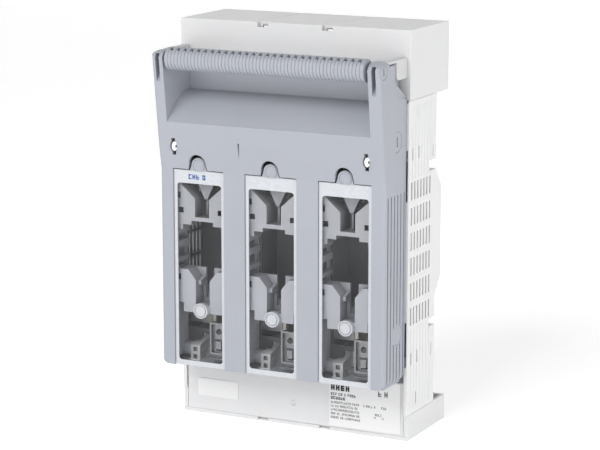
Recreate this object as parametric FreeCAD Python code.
import FreeCAD, Part
import math
import os

Vector = FreeCAD.Vector

# Three-pole NH fuse switch-disconnector, size 1, for a mounting plate.
#
# Frame: X to the right, Y towards the mounting plate, Z up, millimetres. The
# origin is the centre of the four mounting holes, on the plate's surface, and
# that is also half-way up the part. Heights in this file are measured from
# the foot of the part, and save() moves each shape down by half the height.

# Driving dimensions
width = 184.0
height = 298.0
pole_pitch = 58.5
half_width = width / 2
running_gap = 0.05

# Depths, as Y, from the plate (0) to the front
rear_y = -21.0
bulge_y = -11.0
tag_back_y = -37.0
tag_front_y = -42.0
jaw_front_y = -69.0
shroud_front_y = -68.5
base_front_y = -70.0
cover_rear_y = -70.8
cover_front_y = -105.0

# Base
panel_thickness = 2.6
panel_inner_x = half_width - panel_thickness
panel_bottom = 18.6
panel_top = 248.2
base_wall = 3.5
partition_thickness = 3.0
chamber_bottom = 62.0
chamber_top = 205.0
deck_thickness = 3.0
liner_wall = 2.2
cable_entry_half = 18.0
cable_entry_height = 34.0
upper_rail = (193.0, 200.5, -32.5)
lower_rail = (77.0, 83.0, -31.0)
bulge_bottom = (99.0, 112.0)
bulge_top = (179.0, 193.0)

# Mounting holes
mount_spacing_x = pole_pitch
mount_spacing_z = 215.0
mount_hole_r = 3.5
mount_boss_r = 8.0

# Terminal shrouds
shroud_wall = 2.5
shroud_inner_x = half_width - shroud_wall
top_shroud_bottom = 248.4
bottom_shroud_top = 18.4
front_panel_top = 50.0
front_panel_half = 88.6

# Side vents and flutes
flute_pitch = 5.4
flute_count = 7
flute_first_y = -65.6
flute_width = 2.4
vent_rows = 6
vent_pitch = 18.3
vent_height = 13.0
vent_bottom = 85.0

# Contacts, for fuse-links with 6 mm blades
blade_gap = 6.2
finger = 3.0
tag_half = 12.5
upper_jaw = (172.0, 197.0)
lower_jaw = (70.0, 95.0)
upper_bolt_h = 272.0
lower_bolt_h = 26.0
bolt_r = 5.0

# Cover, hinged along its bottom edge
cover_half = 90.2
cover_wall = 3.0
cover_bottom = 46.0
corner_r = 3.5
lean_low = (192.0, cover_front_y)
lean_mid = (209.0, -108.2)
lean_high = (283.5, -117.6)
hinge_y = -84.0
hinge_h = 54.0
hinge_pin_r = 2.0
lug_x = (-16.0, -8.0)
floor_rear_y = -74.8
floor_thickness = 1.4
web_inner = 23.1
web_outer = 24.7

# Handle and the finger recess behind it
recess_half = 80.7
arm_inner = 83.5
arm_groove = 86.6
arm_top = 279.8
arm_head_y = -101.0
arm_rear_y = -88.5
arm_shoulder = 252.0
ear_top = 276.0
recess_wall = 2.5
recess_wall_top = 270.0
bar_y = -110.0
bar_h = 273.8
bar_r = 8.2
bar_half = 78.2
rib_count = 57
handle_pin_r = 2.0
handle_pin_depth = 2.6

# Windows, which slide up inside the cover
window_half = 20.6
window_top = 192.3
window_gap = 0.2
window_travel = 2.0
opening_half = 18.15
opening_bottom = 50.0
opening_top = 182.5
frame_front_y = -103.8
arch_r = 6.9
arch_h = 197.5
tab_r = 5.6
tab_h = 196.3
probe_h = 88.0

# Fuse carriers on the inside of the cover
carrier_half = 21.2
carrier_front_y = -99.6
carrier_back_y = -86.0
carrier_floor_y = -88.0
slot_half = 5.8
screw_r = 1.4
screw_y = -92.0

# Side caps of the cover, as (Y, height, radius)
side_cap_places = [(-83.9, 82.5, 7.3), (-86.2, 221.5, 7.3), (-109.6, 273.4, 5.4)]
side_cap_depth = 1.6

# Seals
seal_x = 76.7
seal_h = 209.5

poles = [("left", -pole_pitch), ("centre", 0.0), ("right", pole_pitch)]
partition_x = [-pole_pitch / 2, pole_pitch / 2]


def save(node, shape):
    shape = shape.copy()
    shape.translate(Vector(0, 0, -height / 2))
    for solid in shape.Solids:
        if not solid.isValid():
            print("not valid:", node)
    print(node, len(shape.Solids), round(shape.Volume))
    shape.exportStep("parts/" + node + ".step")


def box(x0, x1, y0, y1, h0, h1):
    corner = Vector(min(x0, x1), min(y0, y1), min(h0, h1))
    return Part.makeBox(abs(x1 - x0), abs(y1 - y0), abs(h1 - h0), corner)


def closed(points):
    return Part.Face(Part.makePolygon(points + [points[0]]))


def along_x(outline, x0, x1):
    """A prism from x0 to x1 of an outline of (Y, height) points."""
    face = closed([Vector(x0, y, h) for y, h in outline])
    return face.extrude(Vector(x1 - x0, 0, 0))


def along_y(outline, y0, y1):
    """A prism from y0 to y1 of an outline of (X, height) points."""
    face = closed([Vector(x, y0, h) for x, h in outline])
    return face.extrude(Vector(0, y1 - y0, 0))


def along_z(outline, h0, h1):
    """A prism from h0 to h1 of an outline of (X, Y) points."""
    face = closed([Vector(x, y, h0) for x, y in outline])
    return face.extrude(Vector(0, 0, h1 - h0))


def rod_x(r, x0, x1, y, h):
    return Part.makeCylinder(r, abs(x1 - x0), Vector(min(x0, x1), y, h), Vector(1, 0, 0))


def rod_y(r, y0, y1, x, h):
    return Part.makeCylinder(r, abs(y1 - y0), Vector(x, min(y0, y1), h), Vector(0, 1, 0))


def oval_y(rx, rh, y0, y1, x, h):
    """An upright elliptical rod along Y."""
    ellipse = Part.Ellipse(Vector(x, y0, h + rh), Vector(x + rx, y0, h), Vector(x, y0, h))
    face = Part.Face(Part.Wire(ellipse.toShape()))
    return face.extrude(Vector(0, y1 - y0, 0))


def fuse(shapes):
    shapes = list(shapes)
    if len(shapes) == 1:
        return shapes[0]
    return shapes[0].multiFuse(shapes[1:]).removeSplitter()


def cut(shape, tools):
    return shape.cut(Part.makeCompound(list(tools)))


def mirrored(shape):
    return shape.mirror(Vector(0, 0, 0), Vector(1, 0, 0))


def group(shapes):
    return Part.makeCompound(list(shapes))


def rounded_slab(x0, x1, h0, h1, r, y0, y1):
    """A slab along Y, rectangular with corners of radius r."""
    slab = box(x0, x1, y0, y1, h0, h1)
    edges = [e for e in slab.Edges if abs(e.tangentAt(e.FirstParameter).y) > 0.99]
    return slab.makeFillet(r, edges)


# Base: side panels, housing, partitions and chambers

def rear_profile(offset):
    """The rear edge of the base from top to foot, moved forward by offset."""
    flat = rear_y - offset
    bulge = bulge_y - offset

    def notch(rail):
        low, high, depth = rail
        return [(flat, high + offset), (depth - offset, high + offset),
                (depth - offset, low - offset), (flat, low - offset)]

    points = notch(upper_rail)
    points += [(bulge, bulge_top[0] - offset), (bulge, bulge_bottom[1] + offset)]
    points += [(flat, bulge_bottom[0])]
    return points + notch(lower_rail)


def flute_places():
    return [flute_first_y + flute_pitch * i for i in range(flute_count)]


def vent_slots(x0, x1, y_from, y_to, wider=0.0, taller=0.0):
    """Upright ventilation slots through a side wall, between two depths."""
    slots = []
    for y in flute_places():
        if y_from <= y <= y_to:
            for row in range(vent_rows):
                h = vent_bottom + vent_pitch * row
                slots.append(box(x0, x1, y - wider, y + flute_width + wider,
                                 h - taller, h + vent_height + taller))
    return slots


def side_panel():
    flute_depth = 0.3
    outline = [(rear_y, panel_bottom), (base_front_y, panel_bottom)]
    outline += [(base_front_y, panel_top), (rear_y, panel_top)]
    panel = along_x(outline + rear_profile(0), panel_inner_x, half_width)
    cuts = vent_slots(panel_inner_x - 1, half_width + 1, base_front_y, rear_y)
    for y in flute_places():
        low, high = vent_bottom - 2, vent_bottom + vent_pitch * vent_rows - 3
        for h0, h1 in ((panel_bottom + 4, low), (high, panel_top - 4)):
            cuts.append(box(half_width - flute_depth, half_width + 1, y, y + flute_width, h0, h1))
    # Pockets in the front edge, behind a thin skin
    skin, pocket_depth = 0.9, 4.5
    for low, high in ((55, 88), (176, 213), (246.6, panel_top + 1)):
        cuts.append(box(panel_inner_x - 1, half_width - skin, base_front_y - 1,
                        base_front_y + pocket_depth, low, high))
    slit_width, slit_height = 1.3, 9.0
    for y, h in ((-63.4, 205), (-52.6, 205), (-27.5, 203), (-55.5, 236),
                 (-63.4, 55.5), (-52.6, 55.5), (-27.5, 55), (-54.0, 24.5)):
        cuts.append(box(panel_inner_x - 1, half_width + 1, y, y + slit_width, h, h + slit_height))
    return cut(panel, cuts)


def base_housing():
    x = panel_inner_x
    deck_x = shroud_inner_x
    top_h, foot_h = 294.0, 3.5
    outer = [(rear_y, top_h)] + rear_profile(0) + [(rear_y, foot_h)]
    inner = [(rear_y - base_wall, top_h)] + rear_profile(base_wall)
    inner += [(rear_y - base_wall, foot_h)]
    back = along_x(outer + inner[::-1], -x, x)
    solids = [back]
    # Wider ends of the back wall, which the shrouds close on
    for h0, h1 in ((foot_h, panel_bottom - 0.2), (panel_top + 0.2, top_h)):
        solids.append(box(-deck_x, deck_x, rear_y - base_wall, rear_y, h0, h1))
    # Front decks above and below the fuse chambers, and the walls behind them
    deck = deck_thickness
    back_face = rear_y - base_wall
    for front, h0, h1, shelf in ((base_front_y, chamber_top, panel_top, chamber_top),
                                 (shroud_front_y, front_panel_top + 0.6, chamber_bottom,
                                  chamber_bottom - deck)):
        solids.append(box(-x, x, front, front + deck, h0, h1))
        solids.append(box(-x, x, front, back_face, shelf, shelf + deck))
    # Pillars that carry the contacts
    for _, px in poles:
        for h0, h1 in ((208.5, 226.0), (40.0, 56.0)):
            solids.append(box(px - 9, px + 9, tag_back_y, back_face, h0, h1))
    # Bosses on the mounting plate
    bosses = []
    bores = []
    for mx in (-mount_spacing_x / 2, mount_spacing_x / 2):
        for mh in (height / 2 - mount_spacing_z / 2, height / 2 + mount_spacing_z / 2):
            bosses.append(rod_y(mount_boss_r, back_face, 0, mx, mh))
            bores.append(rod_y(mount_hole_r, back_face - 1, 1, mx, mh))
    housing = fuse(solids + bosses)
    # Slots for the contact bars in the decks, and cable entries behind the terminals
    slots = []
    for _, px in poles:
        for low in (top_h - 4 - cable_entry_height, foot_h + 4):
            slots.append(box(px - cable_entry_half, px + cable_entry_half, back_face - 1,
                             rear_y + 1, low, low + cable_entry_height))
        for h in (chamber_top, chamber_bottom - deck):
            half = tag_half + 0.5
            slots.append(box(px - half, px + half, tag_front_y - 0.5, tag_back_y + 0.5,
                             h - 1, h + deck + 1))
    return cut(housing, bores + slots)


def pole_partition(x):
    half = partition_thickness / 2
    inner = [(p, h) for p, h in rear_profile(base_wall) if chamber_bottom < h < chamber_top]
    outline = [(rear_y - base_wall, chamber_bottom), (base_front_y, chamber_bottom)]
    outline += [(base_front_y, chamber_top), (rear_y - base_wall, chamber_top)]
    return along_x(outline + inner, x - half, x + half)


def cell(px):
    """The clear width between the walls round one pole."""
    half = partition_thickness / 2
    left = -panel_inner_x if px < 0 else px - pole_pitch / 2 + half
    right = panel_inner_x if px > 0 else px + pole_pitch / 2 - half
    return left, right


def cell_inside(px):
    """The same inside the liner, which is thinner along the vented side panels."""
    left, right = cell(px)
    thin = 1.0
    left += thin if px < 0 else liner_wall
    right -= thin if px > 0 else liner_wall
    return left, right


def arc_chamber(px):
    """A liner of one fuse chamber: a back wall, two sides, jaw openings and an apron."""
    wall = liner_wall
    back_y = tag_front_y - 0.4
    x0, x1 = cell(px)
    in0, in1 = cell_inside(px)
    h0, h1 = chamber_bottom, chamber_top
    block = box(x0, x1, base_front_y + 0.2, back_y, h0, h1)
    space = box(in0, in1, base_front_y - 1, back_y - wall, h0 - 1, h1 + 1)
    cuts = [space]
    jaw_half = 10.0
    for low, high in ((upper_jaw[0] - 3, chamber_top + 1), (chamber_bottom - 1, lower_jaw[1] + 3)):
        cuts.append(box(px - jaw_half, px + jaw_half, back_y - wall - 1, back_y + 1, low, high))
    if px:
        outer = x0 if px < 0 else x1
        cuts += vent_slots(outer - 3, outer + 3, base_front_y + 2, back_y - flute_width - wall,
                           0.6, 2.1)
    # The apron covers the lower deck, with a window round the hinge lug
    edge = front_panel_half - 0.4
    apron = box(max(x0, -edge), min(x1, edge), base_front_y + 0.1, shroud_front_y - 0.1,
                43.0, chamber_bottom + 4)
    cuts.append(box(px + lug_x[0] - 0.2, px + lug_x[1] + 0.2, base_front_y - 1,
                    shroud_front_y + 1, front_panel_top + 0.8, chamber_bottom + 0.2))
    return cut(fuse([block.cut(space), apron]), cuts[1:])


# Contacts and what goes with them

def jaw_finger(side, h0, h1):
    inner = side * blade_gap / 2
    outer = inner + side * finger
    flare = side * 2.6
    outline = [(inner, tag_front_y), (inner, jaw_front_y + 6), (inner + flare, jaw_front_y)]
    outline += [(outer + flare, jaw_front_y), (outer, jaw_front_y + 6), (outer, tag_front_y)]
    return along_z(outline, h0, h1)


def contact(px, jaw, tag, bolt_h):
    """A contact bar: a pair of jaw fingers at one end, a terminal hole at the other."""
    bar = box(-tag_half, tag_half, tag_front_y, tag_back_y, tag[0], tag[1])
    shape = fuse([bar] + [jaw_finger(side, jaw[0], jaw[1]) for side in (-1, 1)])
    hole = rod_y(bolt_r + 0.5, tag_front_y - 1, tag_back_y + 1, 0, bolt_h)
    shape = shape.cut(hole)
    shape.translate(Vector(px, 0, 0))
    return shape


def jaw_spring(px, jaw, closed_h):
    """A steel clip over the closed end of a pair of jaw fingers."""
    leaf = 1.2
    inside = blade_gap / 2 + finger
    outside = inside + leaf
    y0, y1 = -62.0, -54.0
    step = 1 if closed_h > jaw[0] else -1
    open_h = closed_h - step * 20
    cap = box(-outside, outside, y0, y1, closed_h, closed_h + step * leaf)
    leaves = [box(side * inside, side * outside, y0, y1, open_h, closed_h) for side in (-1, 1)]
    clip = fuse([cap] + leaves)
    clip.translate(Vector(px, 0, 0))
    return clip


def terminal_bolt(px, h):
    head_r, head = 9.2, 6.4
    hexagon = [(px + head_r * math.cos(a), h + head_r * math.sin(a))
               for a in [math.pi / 3 * i for i in range(6)]]
    top = tag_front_y - 2.0
    return fuse([along_y(hexagon, top - head, top), rod_y(bolt_r, top, tag_back_y + 10, px, h)])


def terminal_washer(px, h):
    ring = rod_y(10.5, tag_front_y - 2.0, tag_front_y, px, h)
    return ring.cut(rod_y(bolt_r + 0.4, tag_front_y - 3, tag_front_y + 1, px, h))


def terminal_nut(px, h):
    nut_r = 9.2
    hexagon = [(px + nut_r * math.cos(a), h + nut_r * math.sin(a))
               for a in [math.pi / 3 * i for i in range(6)]]
    nut = along_y(hexagon, tag_back_y, tag_back_y + 8)
    return nut.cut(rod_y(bolt_r, tag_back_y - 1, tag_back_y + 9, px, h))


def arc_plates(px):
    """Thin steel plates each side of the jaws, which split the arc."""
    plate, pitch, count = 1.2, 5.0, 5
    inner = 9.5
    x0, x1 = cell_inside(px)
    plates = []
    for h0, h1 in (upper_jaw, lower_jaw):
        for i in range(count):
            y = jaw_front_y + 1 + pitch * i
            plates.append(box(x0, px - inner, y, y + plate, h0, h1))
            plates.append(box(px + inner, x1, y, y + plate, h0, h1))
    return group(plates)


# Terminal shrouds, catch blocks, seal posts, hinge lugs and labels

def top_shroud():
    shell = box(-half_width, half_width, shroud_front_y, 0, top_shroud_bottom, height)
    hollow = box(-shroud_inner_x, shroud_inner_x, shroud_front_y + shroud_wall, 1,
                 top_shroud_bottom - 1, height - shroud_wall)
    notch_low, notch_depth = 294.3, 4.2
    notches = ((-29.0, -20.0), (22.5, 31.5))
    backing = [box(x0 - 1.5, x1 + 1.5, shroud_front_y + 1, shroud_front_y + notch_depth + 1.8,
                   notch_low - 2, height - 1) for x0, x1 in notches]
    shell = fuse([shell.cut(hollow)] + backing)
    cuts = []
    for x0, x1 in notches:
        cuts.append(box(x0, x1, shroud_front_y - 1, shroud_front_y + notch_depth,
                        notch_low, height + 1))
        cuts.append(box(x0 + 2.5, x1 - 0.8, shroud_front_y + 1.5, shroud_front_y + notch_depth + 3,
                        notch_low - 1.6, notch_low + 1.5))
    groove = 0.7
    for x in (-28.3, 27.7):
        cuts.append(box(x, x + groove, shroud_front_y - 1, 1, height - 0.6, height + 1))
        cuts.append(box(x - 1.2, x + 1.8, -1.6, 1, height - 1.6, height + 1))
    cuts.append(rod_x(1.0, -28.9, -27.0, -22.0, height - 0.4))
    return shell.cut(Part.makeCompound(cuts))


def bottom_shroud():
    tray = box(-half_width, half_width, shroud_front_y, 0, 0, bottom_shroud_top)
    hollow = box(-shroud_inner_x, shroud_inner_x, shroud_front_y + shroud_wall, -shroud_wall,
                 shroud_wall, bottom_shroud_top + 1)
    panel = box(-front_panel_half, front_panel_half, shroud_front_y,
                shroud_front_y + shroud_wall, bottom_shroud_top - 4, front_panel_top)
    shroud = fuse([tray.cut(hollow), panel])
    cuts = []
    for side in (-1, 1):
        cuts.append(box(side * 21, side * 30, shroud_front_y - 1, shroud_front_y + 5, -1, 2.6))
        cuts.append(box(side * front_panel_half, side * (front_panel_half + 0.6),
                        shroud_front_y - 1, shroud_front_y + 0.7, 3.0, bottom_shroud_top + 1))
    cuts.append(box(-half_width - 1, half_width + 1, shroud_front_y - 1,
                    shroud_front_y + 0.4, 2.7, 3.2))
    cuts.append(Part.makeSphere(3.0, Vector(0, shroud_front_y - 1.6, 17)))
    return shroud.cut(Part.makeCompound(cuts))


def catch_block():
    low, high, front = 264.6, 279.0, -86.0
    flange, flange_front = 1.7, -98.5
    outline = [(shroud_front_y, low), (front + 2, low), (front, low + 2.6),
               (front, high - flange), (flange_front, high - flange), (flange_front, high),
               (shroud_front_y, high)]
    return along_x(outline, arm_inner + 1.3, cover_half - 0.7)


def seal_post(x):
    """A post with an eye for a sealing wire, seen through an opening of the cover."""
    tip_y = -107.0
    post = oval_y(2.2, 3.4, tip_y, base_front_y, x, seal_h)
    foot = box(x - 4, x + 4, base_front_y - 6, base_front_y, seal_h - 4.4, 218)
    eye = rod_x(1.1, x - 0.4, x + 4, tip_y + 2.2, seal_h)
    slot = box(x + 0.6, x + 3, tip_y - 1, tip_y + 3.3, seal_h - 1.1, seal_h + 1.1)
    return fuse([post, foot]).cut(eye).cut(slot)


def hinge_lug(px):
    x0, x1 = px + lug_x[0], px + lug_x[1]
    front, top, low = -90.0, 62.0, 46.5
    deck = shroud_front_y
    neck_y, slim = -80.0, 2.0
    head = along_x([(neck_y, 59.5), (-86.0, 59.5), (front, 58.0), (front, low), (neck_y, low)],
                   x0, x1)
    neck = along_x([(deck, top), (neck_y - 1, 58.0), (neck_y - 1, low + 2),
                    (base_front_y, front_panel_top + 1), (deck, front_panel_top + 1)],
                   x0 + slim, x1 - slim)
    lug = fuse([head, neck])
    bore = rod_x(hinge_pin_r + running_gap, x0 - 1, x1 + 1, hinge_y, hinge_h)
    pockets = []
    for h in (47.7, 53.3):
        pockets.append(box(x0 + 2.4, x0 + 5.6, front - 1, front + 2.4, h, h + 3.2))
    return cut(lug, [bore] + pockets)


def front_labels():
    thick = 0.4
    blank = rounded_slab(-80, -46, 13.5, 27, 0.8, shroud_front_y - thick, shroud_front_y)
    rating = rounded_slab(29.5, 86.5, 4.2, 42, 0.8, shroud_front_y - thick, shroud_front_y)
    return group([blank, rating])


# Cover

def cover_body(inset, low, high):
    """The cover's outer form between two heights, with all its faces moved in."""
    half = cover_half - inset
    r = corner_r - inset
    path = [(low, lean_low[1]), lean_low, lean_mid, lean_high]
    if high < lean_high[0]:
        slope = (lean_high[1] - lean_mid[1]) / (lean_high[0] - lean_mid[0])
        path[-1] = (high, lean_mid[1] + slope * (high - lean_mid[0]))
    solids = []
    for (h0, y0), (h1, y1) in zip(path[:-1], path[1:]):
        front = y0 + inset
        rear = -60.0
        bend = r * (1 - math.sqrt(0.5))
        left = -half
        corners = [Part.LineSegment(Vector(left, rear, h0), Vector(left, front + r, h0)),
                   Part.Arc(Vector(left, front + r, h0), Vector(left + bend, front + bend, h0),
                            Vector(left + r, front, h0)),
                   Part.LineSegment(Vector(left + r, front, h0), Vector(half - r, front, h0)),
                   Part.Arc(Vector(half - r, front, h0), Vector(half - bend, front + bend, h0),
                            Vector(half, front + r, h0)),
                   Part.LineSegment(Vector(half, front + r, h0), Vector(half, rear, h0)),
                   Part.LineSegment(Vector(half, rear, h0), Vector(left, rear, h0))]
        wire = Part.Wire([c.toShape() for c in corners])
        solids.append(Part.Face(wire).extrude(Vector(0, y1 - y0, h1 - h0)))
    return fuse(solids)


def side_outline(rear):
    """The cover seen from the side: arms with a rounded head and a sloping shoulder."""
    head_y, head_r = -109.0, 8.0
    steps = 8
    head_low = arm_top - head_r
    points = [(-140.0, cover_bottom), (-140.0, head_low), (head_y - head_r, head_low)]
    for i in range(1, steps + 1):
        a = math.pi / 2 * i / steps
        points.append((head_y - head_r * math.cos(a), head_low + head_r * math.sin(a)))
    points += [(arm_head_y, arm_top), (arm_head_y + 3, ear_top), (arm_rear_y, ear_top)]
    points += [(arm_rear_y, arm_shoulder + 11)]
    return points + rear


def cover_form():
    """The cover's whole outer form, cut back a little at its foot to swing clear."""
    swing_y, end_r = -73.3, 6.0
    rear = [(cover_rear_y, arm_shoulder), (cover_rear_y, hinge_h - 1), (swing_y, cover_bottom)]
    form = cover_body(0, cover_bottom, lean_high[0])
    form = form.common(along_x(side_outline(rear), -cover_half, cover_half))
    front = rounded_slab(-cover_half, cover_half, cover_bottom, arm_top, end_r, -130.0, -60.0)
    return form.common(front)


def recess_profile(back):
    """The finger recess behind the handle: lip, hollow ramp and upright wall."""
    lip = (-110.6, 227.6)
    wall_y, wall_foot = -75.2, 247.5
    points = [(lip[0] + 0.2 * back, lip[1] - back)]
    steps, swell = 10, 2.0
    for i in range(1, steps + 1):
        t = i / steps
        y = lip[0] + (wall_y - lip[0]) * t
        h = lip[1] + (wall_foot - lip[1]) * (1 - (1 - t) ** swell)
        points.append((y + back * (1 - t), h - back * t))
    if back:
        points[-1] = (wall_y + back, wall_foot - back)
    points.append((wall_y + back, recess_wall_top))
    return points


def window_cut(px):
    half = window_half + window_gap
    low = cover_bottom - 1
    slit = 0.8
    through = box(px - half, px + half, -112, -101.5, low, window_top + slit)
    pocket = box(px - half, px + half, frame_front_y - 0.15, -101.5, low,
                 window_top + window_gap + window_travel + 0.6)
    flange = box(px - web_inner, px + web_inner, -102, -100, low, window_top)
    arch = rod_y(arch_r, -114, -100, px, arch_h)
    foot = along_y([(px - 7.9, window_top), (px - arch_r, arch_h), (px + arch_r, arch_h),
                    (px + 7.9, window_top)], -114, -100)
    return [through, pocket, flange, arch, foot]


def window_guides(px):
    """Ribs behind one window: a web each side, with a lip that keeps the window in."""
    solids = []
    rear = -80.0
    rungs = ((142.4, 146.0), (132.1, 137.2), (121.0, 124.7))
    gaps = ((137.4, 142.2), (124.9, 131.9), (117.8, 120.8))
    for side in (-1, 1):
        inner, outer = px + side * web_inner, px + side * web_outer
        outline = [(cover_front_y + 2.5, 50.0), (rear, 50.0), (rear, 196.0), (rear - 4, 200.0),
                   (cover_front_y + 2.5, 200.0)]
        web = along_x(outline, inner, outer)
        web = cut(web, [box(inner - side, outer + side, -97.5, rear - 2, h0, h1)
                        for h0, h1 in gaps])
        solids.append(web)
        lip = box(px + side * carrier_half, inner, -100.2, -98.4, 54.0, 196.0)
        solids.append(lip)
        # Rungs that stiffen the web between its openings
        solids += [box(px + side * carrier_half, inner, -98.4, rear, h0, h1)
                   for h0, h1 in rungs]
    # A knuckle for the hinge pin, next to the base's lug
    knuckle = rod_x(5.2, px - web_inner - 0.2, px + lug_x[0] - 0.3, hinge_y, hinge_h)
    solids.append(knuckle)
    return fuse(solids)


def cover_shell():
    outer = cover_form()
    cavity_top = arm_shoulder - 1.5
    shell = outer.cut(cover_body(cover_wall, cover_bottom, cavity_top))
    # A floor, open round the base's lugs
    floor = box(-cover_half + 2, cover_half - 2, cover_front_y + 2, floor_rear_y, cover_bottom,
                cover_bottom + floor_thickness)
    lug_gaps = [box(px + lug_x[0] - 0.6, px + lug_x[1] + 0.6, -93.0, floor_rear_y + 1,
                    cover_bottom - 1, cover_bottom + floor_thickness + 1) for _, px in poles]
    shell = shell.fuse(cut(floor, lug_gaps))
    # Side grooves, and flat pads for the side caps
    grooves = []
    pads = []
    groove_width, groove_depth = 1.6, 0.9
    for i in range(6):
        y = -101.8 + 5.44 * i
        grooves.append(box(cover_half - groove_depth, cover_half + 1, y, y + groove_width,
                           cover_bottom - 1, 184.0))
        grooves.append(box(cover_half - 2 * groove_depth, cover_half + 1, y, y + groove_width,
                           cover_bottom - 1, 73.0))
    both = grooves + [mirrored(g) for g in grooves]
    shell = cut(shell, both)
    inner_x = cover_half - cover_wall
    for y, h, r in side_cap_places:
        pads.append(rod_x(r + 1.2, inner_x - 0.5, cover_half, y, h))
    pads += [mirrored(p) for p in pads]
    pads = group(pads).common(outer)
    # Inner arm walls and the recess tray
    low = 226.0
    ear = [(arm_head_y, low), (arm_head_y, ear_top), (arm_rear_y, ear_top),
           (cover_rear_y, recess_wall_top), (cover_rear_y, low)]
    plate_space = box(recess_half - 0.5, arm_inner, -130.0, cover_rear_y, low - 2, arm_top)
    arm = outer.fuse(along_x(ear, 0, arm_inner)).common(plate_space)
    arms = [arm, mirrored(arm)]
    tray = along_x(recess_profile(0) + recess_profile(recess_wall)[::-1], -arm_inner, arm_inner)
    guides = [window_guides(px) for _, px in poles]
    shell = shell.multiFuse([pads, tray] + arms)
    ramp = recess_profile(0)
    recess = [(-140.0, ramp[0][1])] + ramp + [(ramp[-1][0], 300.0), (-140.0, 300.0)]
    cuts = [along_x(recess, -recess_half, recess_half)]
    for _, px in poles:
        cuts += window_cut(px)
    # Groove in the head of each arm
    groove = [(-130.0, 257.0), (-114.3, 257.0), (-107.0, 266.0), (-107.0, 277.4), (-130.0, 277.4)]
    # and a shallow relief in its outer face, behind the head
    relief = [(arm_head_y, 290.0), (arm_head_y, 268.0), (-96.0, 259.0), (-84.0, 252.0),
              (-60.0, 248.0), (-60.0, 290.0)]
    for side in (-1, 1):
        cuts.append(along_x(groove, side * arm_inner, side * arm_groove))
        cuts.append(along_x(relief, side * (cover_half - 1.0), side * (cover_half + 1)))
        x, h = side * seal_x, seal_h
        cuts.append(oval_y(3.0, 4.5, -114, -100, x, h))
        cuts.append(box(x - 1.5, x + 1.5, -114, -100, h - 6.2, h + 6.2))
        for y, cap_h, r in side_cap_places:
            cuts.append(rod_x(r + 0.2, side * (cover_half - side_cap_depth),
                              side * (cover_half + 2), y, cap_h))
        cuts.append(handle_pin(side))
    cuts.append(box(-24.1, -22.9, -112, -107.3, 198.0, 215.5))
    shell = cut(shell, cuts)
    shell = shell.multiFuse(guides)
    pins = [hinge_pin(px) for _, px in poles]
    screws = [carrier_screw(px, h, side) for _, px in poles for h in carrier_screw_h
              for side in (-1, 1)]
    return cut(shell, pins + screws).removeSplitter()


def hinge_pin(px):
    return rod_x(hinge_pin_r, px - web_outer, px + lug_x[1] + 0.2, hinge_y, hinge_h)


carrier_screw_h = (162.0, 101.0)


def carrier_screw(px, h, side):
    shank = rod_x(screw_r, px + side * 15.0, px + side * web_outer, screw_y, h)
    head = rod_x(2.6, px + side * web_outer, px + side * (web_outer + 1.6), screw_y, h)
    return fuse([shank, head])


def handle_bar():
    """A ribbed grip with a row of deep pockets along its top."""
    flat_y = bar_y + 6.5
    core = rod_x(bar_r - 0.4, -bar_half, bar_half, bar_y, bar_h)
    pitch = 2 * bar_half / rib_count
    rib_width = 0.8 * pitch
    ribs = []
    for i in range(rib_count):
        x = -bar_half + pitch * (i + 0.5)
        ribs.append(rod_x(bar_r, x - rib_width / 2, x + rib_width / 2, bar_y, bar_h))
    bar = core.multiFuse(ribs)
    cuts = [box(-bar_half - 1, bar_half + 1, flat_y, flat_y + 10, bar_h - 10, bar_h + 10)]
    pocket_half, pocket_front_y, pocket_back_y = 1.3, bar_y - 5.0, bar_y - 0.4
    for i in range(1, rib_count - 1, 2):
        x = -bar_half + pitch * (i + 0.5)
        cuts.append(box(x - pocket_half, x + pocket_half, pocket_front_y, pocket_back_y,
                        bar_h - 1.0, bar_h + 10))
    return cut(bar, cuts + [handle_pin(side) for side in (-1, 1)])


def handle_pin(side):
    return rod_x(handle_pin_r, side * (bar_half - handle_pin_depth), side * (arm_inner - 0.8),
                 bar_y, bar_h)


def side_caps():
    """Round plugs in the side of the cover, one with a slot for a tool."""
    caps = []
    form = cover_form()
    for y, h, r in side_cap_places:
        cap = rod_x(r, cover_half - side_cap_depth, cover_half - 0.1, y, h)
        if h > 200:
            tall = 0.5 * r
            cap = cap.cut(box(cover_half - 0.9, cover_half + 1, y - 0.8, y + 0.8,
                              h - tall, h + tall))
        caps.append(cap.common(form))
    return group(caps)


# Fuse carriers

def both_sides(half_outline):
    """An outline closed by its own mirror image across X = 0."""
    return half_outline + [(-x, h) for x, h in reversed(half_outline)]


def upper_carrier(px):
    """Two lobes with a throat open to the back, and a wedge that guides the grip lug."""
    front, back = carrier_front_y, carrier_back_y
    top = 188.0
    outline = both_sides([(carrier_half, top), (carrier_half, 147.0), (16.0, 147.0),
                          (16.0, 151.0), (9.0, 151.0), (9.0, 154.0)])
    block = along_y(outline, front, back)
    throat = both_sides([(slot_half, 157.0), (slot_half, 170.5), (17.0, 180.5), (17.0, top + 1)])
    cuts = [along_y(throat, front - 1, back + 1)]
    # Pockets in the front faces of the lobes
    for x0, x1, h0, h1 in ((-carrier_half - 1, -17.7, 170.2, 174.8), (-19.6, -15.2, 159.6, 163.6),
                           (12.9, 17.6, 159.5, 163.4)):
        cuts.append(box(x0, x1, front - 1, front + 6, h0, h1))
    wedge_front = -93.5
    wedge = along_y(both_sides([(7.4, top), (7.4, 182.5), (1.1, 169.6)]), wedge_front, back)
    fin = box(-0.8, 0.8, wedge_front + 2, back, 157.0, 170.0)
    bridge = box(-18, 18, -89.5, back, 184.0, top)
    carrier = fuse([cut(block, cuts), wedge, fin, bridge])
    return fit_carrier(carrier, px, carrier_screw_h[0])


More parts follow.
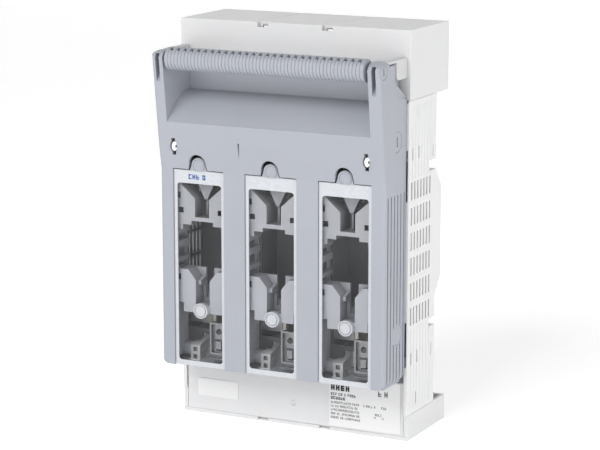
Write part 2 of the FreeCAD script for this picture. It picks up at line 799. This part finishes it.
def lower_carrier(px):
    """Two lobes with a throat between them, closed at its foot and at the back."""
    front, back, floor = carrier_front_y, carrier_back_y, carrier_floor_y
    outline = both_sides([(carrier_half, 117.5), (carrier_half, 92.4), (15.8, 92.4),
                          (15.8, 85.6)])
    block = along_y(outline, front, back)
    throat = both_sides([(slot_half, 92.0), (slot_half, 110.0), (11.6, 117.0), (11.6, 119.0)])
    cuts = [along_y(throat, front - 1, floor)]
    cuts.append(box(-3.4, 3.4, floor - 1, back + 1, 95, 120))
    cuts.append(box(-carrier_half - 1, -18.0, front - 1, front + 6, 109.4, 113.8))
    hook_x = -slot_half
    hook = along_x([(floor - 8, 106.0), (floor - 8, 109.0), (floor, 111.5), (floor, 104.0)],
                   hook_x, hook_x + 2.6)
    carrier = fuse([cut(block, cuts), hook])
    return fit_carrier(carrier, px, carrier_screw_h[1])


def fit_carrier(carrier, px, screw_h):
    for side in (-1, 1):
        carrier = carrier.cut(rod_x(screw_r, side * 15.0, side * 25.0, screw_y, screw_h))
    carrier.translate(Vector(px, 0, 0))
    return carrier


def retaining_clip(px):
    """A sheet clip beside the hinge: a pressed tray with a rim, a hole and a tongue."""
    front, floor, back = -97.6, -94.6, -93.6
    left, right, low, high = px + 4.5, px + web_inner, 55.0, 79.0
    rim, leaf = 1.3, 1.2
    tray = rounded_slab(left, right, low, high, 1.2, front, back)
    inside = rounded_slab(left + rim, right - rim, low + rim, high - rim, 0.8, front - 1, floor)
    window = rounded_slab(px + 7.5, px + 16.0, 58.0, 66.0, 1.0, front - 1, back + 1)
    hole = rod_y(2.3, front - 1, back + 1, px + 10.6, 71.6)
    tongue = along_x([(front + 0.6, 59.0), (front + 0.6, 65.0), (front + 0.6 + leaf, 65.0),
                      (front + 0.6 + leaf, 60.0), (back, 58.5), (back, 57.2), (floor, 57.2)],
                     px + 9.0, px + 13.5)
    flange = box(right - leaf, right, floor, back + 6, 56.0, 78.0)
    foot = box(left, right, front, front + 1.5, 50.2, 52.4)
    stem = box(right - 4, right, front + 0.2, front + 1.4, 52.0, low + 0.5)
    return fuse([cut(tray, [inside, window, hole]), tongue, flange, stem, foot])


# Windows

def window_frame(px):
    back_y = -101.4
    glass_y = -102.6
    outer = box(-window_half, window_half, frame_front_y, back_y, cover_bottom + 0.2, window_top)
    opening = rounded_slab(-opening_half, opening_half, opening_bottom, opening_top, 2.4,
                           frame_front_y - 1, back_y + 1)
    rebate = rounded_slab(-opening_half - 1, opening_half + 1, opening_bottom - 1,
                          opening_top + 1, 2.4, glass_y, back_y + 1)
    flange_in, flange_out = opening_half + 1.2, web_inner - 0.5
    flanges = [box(side * flange_in, side * flange_out, -101.8, -100.4, 52.0, 189.0)
               for side in (-1, 1)]
    frame = fuse([outer.cut(opening).cut(rebate)] + flanges)
    frame.translate(Vector(px, 0, 0))
    return frame


def window_pane(px):
    glass_y, back_y = -102.6, -101.2
    pane = rounded_slab(-opening_half - 1, opening_half + 1, opening_bottom - 1,
                        opening_top + 1, 2.4, glass_y, back_y)
    pane = pane.cut(rod_y(5.7, glass_y - 1, back_y + 1, 0, probe_h))
    pane.translate(Vector(px, 0, 0))
    return pane


def probe_cup(px):
    """A small round port for a test probe, set in the pane."""
    front, back = -103.4, -99.9
    cup = rod_y(5.7, front, back, px, probe_h)
    ring = rod_y(4.9, front - 1, front + 0.9, px, probe_h).cut(
        rod_y(3.9, front - 1, front + 0.9, px, probe_h))
    return cup.cut(ring)


def thumb_tab(px):
    """The grey tab on top of a window frame, which a thumb pushes up."""
    front, back = -104.5, -101.4
    disc = rod_y(tab_r, front, back, px, tab_h)
    foot = along_y([(px - 7.0, window_top), (px - tab_r, tab_h), (px + tab_r, tab_h),
                    (px + 7.0, window_top)], front, back)
    pad = rod_y(5.0, front - 0.8, front, px, tab_h)
    dish = rod_y(4.2, front - 1.8, front - 0.2, px, tab_h)
    tab = fuse([disc, foot, pad]).cut(dish)
    return tab.cut(box(px - 10, px + 10, front - 2, back + 1, window_top - 10, window_top))


os.makedirs("parts", exist_ok=True)

panel_right = side_panel()
save("side_panel_right", panel_right)
save("side_panel_left", mirrored(panel_right))
save("base_housing", base_housing())
for name, x in zip(("left", "right"), partition_x):
    save("pole_partition_" + name, pole_partition(x))
save("top_terminal_shroud", top_shroud())
save("bottom_terminal_shroud", bottom_shroud())
for name, shape in (("catch_block", catch_block()), ("side_caps", side_caps())):
    save(name + "_right", shape)
    save(name + "_left", mirrored(shape))
save("seal_post_left", seal_post(-seal_x))
save("seal_post_right", seal_post(seal_x))
for name, x in poles:
    save("arc_chamber_" + name, arc_chamber(x))
    save("arc_plates_" + name, arc_plates(x))
    save("line_contact_" + name, contact(x, upper_jaw, (169.0, 288.0), upper_bolt_h))
    save("load_contact_" + name, contact(x, lower_jaw, (10.0, 98.0), lower_bolt_h))
    save("hinge_lug_" + name, hinge_lug(x))
    save("upper_fuse_carrier_" + name, upper_carrier(x))
    save("lower_fuse_carrier_" + name, lower_carrier(x))
    save("retaining_clip_" + name, retaining_clip(x))
    save("window_frame_" + name, window_frame(x))
    save("window_pane_" + name, window_pane(x))
    save("probe_cup_" + name, probe_cup(x))
    save("thumb_tab_" + name, thumb_tab(x))
pole_x = [x for _, x in poles]
save("line_jaw_springs", group([jaw_spring(x, upper_jaw, upper_jaw[1]) for x in pole_x]))
save("load_jaw_springs", group([jaw_spring(x, lower_jaw, lower_jaw[0]) for x in pole_x]))
ends = [(x, h) for x in pole_x for h in (upper_bolt_h, lower_bolt_h)]
save("terminal_bolts", group([terminal_bolt(x, h) for x, h in ends]))
save("terminal_washers", group([terminal_washer(x, h) for x, h in ends]))
save("terminal_nuts", group([terminal_nut(x, h) for x, h in ends]))
save("front_labels", front_labels())
save("cover_shell", cover_shell())
save("handle_bar", handle_bar())
save("handle_pins", group([handle_pin(side) for side in (-1, 1)]))
save("hinge_pins", group([hinge_pin(x) for x in pole_x]))
save("carrier_screws", group([carrier_screw(x, h, side) for x in pole_x
                              for h in carrier_screw_h for side in (-1, 1)]))
